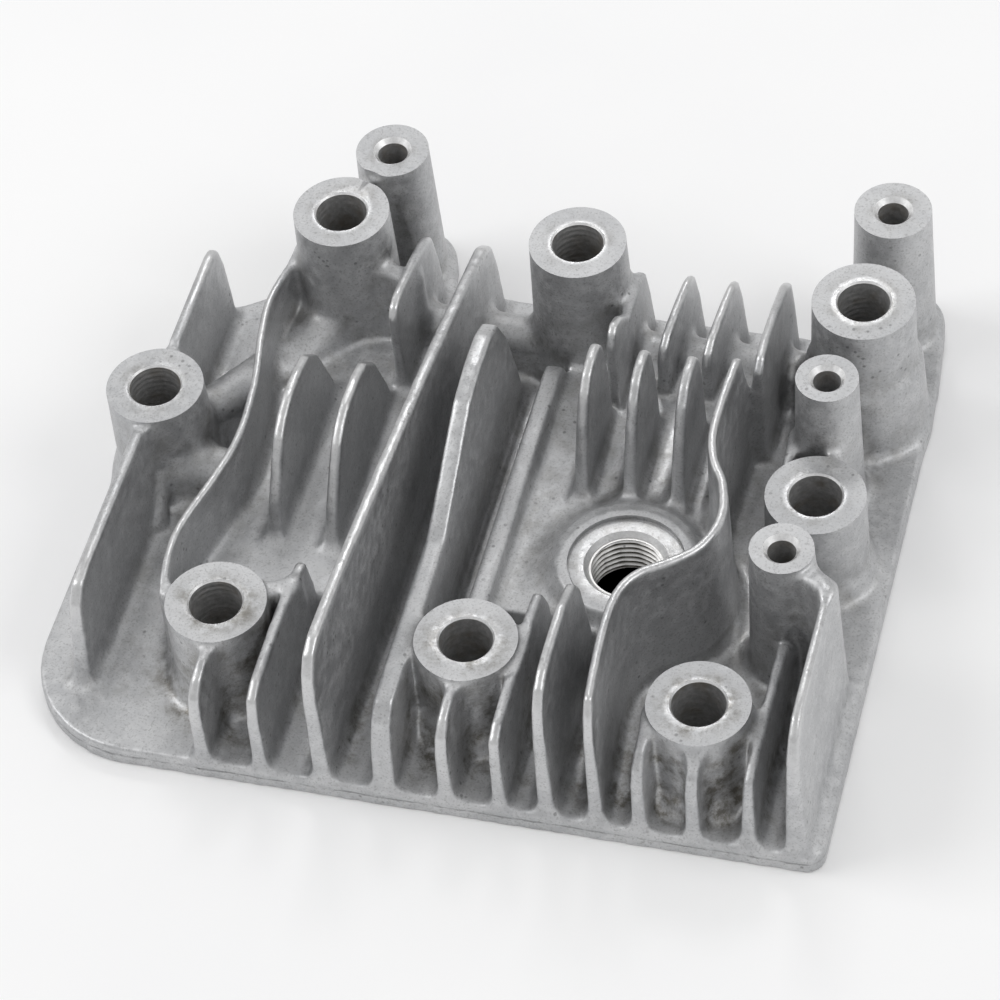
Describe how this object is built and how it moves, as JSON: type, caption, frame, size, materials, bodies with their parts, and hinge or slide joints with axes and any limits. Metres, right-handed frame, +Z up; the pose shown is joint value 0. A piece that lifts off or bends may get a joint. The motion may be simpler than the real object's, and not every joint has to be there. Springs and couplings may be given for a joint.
{
  "type": "engine cylinder head",
  "caption": "Finned aluminium cylinder head for a small air-cooled side-valve engine, with bolt bosses, shroud bosses and a plug boss.",
  "frame": {"origin": "centre of the bounding box on the gasket face, which is the lowest plane", "axes": "+X along the straight front edge towards the tall right wall, +Y towards the rear rail, +Z up out of the gasket face along the fins"},
  "size_m": [0.1434, 0.13, 0.035],
  "materials": {
    "chamber_roof_left": "as-cast, lightly soiled",
    "chamber_roof_right": "as-cast, lightly soiled",
    "curved_wall_left": "as-cast, lightly soiled",
    "curved_wall_right": "as-cast, lightly soiled",
    "flat_top_rib": "as-cast, lightly soiled",
    "front_fin_01": "as-cast, lightly soiled",
    "front_fin_02": "as-cast, lightly soiled",
    "front_fin_03": "as-cast, lightly soiled",
    "front_fin_04": "as-cast, lightly soiled",
    "front_fin_05": "as-cast, lightly soiled",
    "front_fin_06": "as-cast, lightly soiled",
    "front_fin_07": "as-cast, lightly soiled",
    "front_fin_08": "as-cast, lightly soiled",
    "gasket_deck": "as-cast, lightly soiled",
    "head_bolt_boss_front_left": "as-cast, lightly soiled",
    "head_bolt_boss_front_middle": "as-cast, lightly soiled",
    "head_bolt_boss_front_right": "as-cast, lightly soiled",
    "head_bolt_boss_left_side": "as-cast, lightly soiled",
    "head_bolt_boss_rear_left": "as-cast, lightly soiled",
    "head_bolt_boss_rear_middle": "as-cast, lightly soiled",
    "head_bolt_boss_rear_right": "as-cast, lightly soiled",
    "head_bolt_boss_right_side": "as-cast, lightly soiled",
    "inner_fin_left_1": "as-cast, lightly soiled",
    "inner_fin_left_2": "as-cast, lightly soiled",
    "inner_fin_right_1": "as-cast, lightly soiled",
    "inner_fin_right_2": "as-cast, lightly soiled",
    "inner_fin_right_3": "as-cast, lightly soiled",
    "long_fin_cross_web": "as-cast, lightly soiled",
    "long_fin_left": "as-cast, lightly soiled",
    "long_fin_middle": "as-cast, lightly soiled",
    "pocket_rib_left": "as-cast, lightly soiled",
    "pocket_rib_right": "as-cast, lightly soiled",
    "rear_corner_web": "as-cast, lightly soiled",
    "rear_fin_0": "as-cast, lightly soiled",
    "rear_fin_1": "as-cast, lightly soiled",
    "rear_fin_2": "as-cast, lightly soiled",
    "rear_fin_3": "as-cast, lightly soiled",
    "rear_fin_4": "as-cast, lightly soiled",
    "rear_rail_left": "as-cast, lightly soiled",
    "rear_rail_right": "as-cast, lightly soiled",
    "right_front_gusset": "as-cast, lightly soiled",
    "right_front_wall": "as-cast, lightly soiled",
    "shroud_boss_rear_left": "as-cast, lightly soiled",
    "shroud_boss_rear_right": "as-cast, lightly soiled",
    "shroud_boss_right_front": "as-cast, lightly soiled",
    "shroud_boss_right_rear": "as-cast, lightly soiled",
    "side_fin_front": "as-cast, lightly soiled",
    "side_fin_rear": "as-cast, lightly soiled",
    "side_web_front": "as-cast, lightly soiled",
    "side_web_rear": "as-cast, lightly soiled",
    "spark_plug_boss": "as-cast, lightly soiled"
  },
  "bodies": {
    "root": {"chamber_roof_left": "chamber_roof_left", "chamber_roof_right": "chamber_roof_right", "curved_wall_left": "curved_wall_left", "curved_wall_right": "curved_wall_right", "flat_top_rib": "flat_top_rib", "front_fin_01": "front_fin_01", "front_fin_02": "front_fin_02", "front_fin_03": "front_fin_03", "front_fin_04": "front_fin_04", "front_fin_05": "front_fin_05", "front_fin_06": "front_fin_06", "front_fin_07": "front_fin_07", "front_fin_08": "front_fin_08", "gasket_deck": "gasket_deck", "head_bolt_boss_front_left": "head_bolt_boss_front_left", "head_bolt_boss_front_middle": "head_bolt_boss_front_middle", "head_bolt_boss_front_right": "head_bolt_boss_front_right", "head_bolt_boss_left_side": "head_bolt_boss_left_side", "head_bolt_boss_rear_left": "head_bolt_boss_rear_left", "head_bolt_boss_rear_middle": "head_bolt_boss_rear_middle", "head_bolt_boss_rear_right": "head_bolt_boss_rear_right", "head_bolt_boss_right_side": "head_bolt_boss_right_side", "inner_fin_left_1": "inner_fin_left_1", "inner_fin_left_2": "inner_fin_left_2", "inner_fin_right_1": "inner_fin_right_1", "inner_fin_right_2": "inner_fin_right_2", "inner_fin_right_3": "inner_fin_right_3", "long_fin_cross_web": "long_fin_cross_web", "long_fin_left": "long_fin_left", "long_fin_middle": "long_fin_middle", "pocket_rib_left": "pocket_rib_left", "pocket_rib_right": "pocket_rib_right", "rear_corner_web": "rear_corner_web", "rear_fin_0": "rear_fin_0", "rear_fin_1": "rear_fin_1", "rear_fin_2": "rear_fin_2", "rear_fin_3": "rear_fin_3", "rear_fin_4": "rear_fin_4", "rear_rail_left": "rear_rail_left", "rear_rail_right": "rear_rail_right", "right_front_gusset": "right_front_gusset", "right_front_wall": "right_front_wall", "shroud_boss_rear_left": "shroud_boss_rear_left", "shroud_boss_rear_right": "shroud_boss_rear_right", "shroud_boss_right_front": "shroud_boss_right_front", "shroud_boss_right_rear": "shroud_boss_right_rear", "side_fin_front": "side_fin_front", "side_fin_rear": "side_fin_rear", "side_web_front": "side_web_front", "side_web_rear": "side_web_rear", "spark_plug_boss": "spark_plug_boss"}
  },
  "joints": []
}
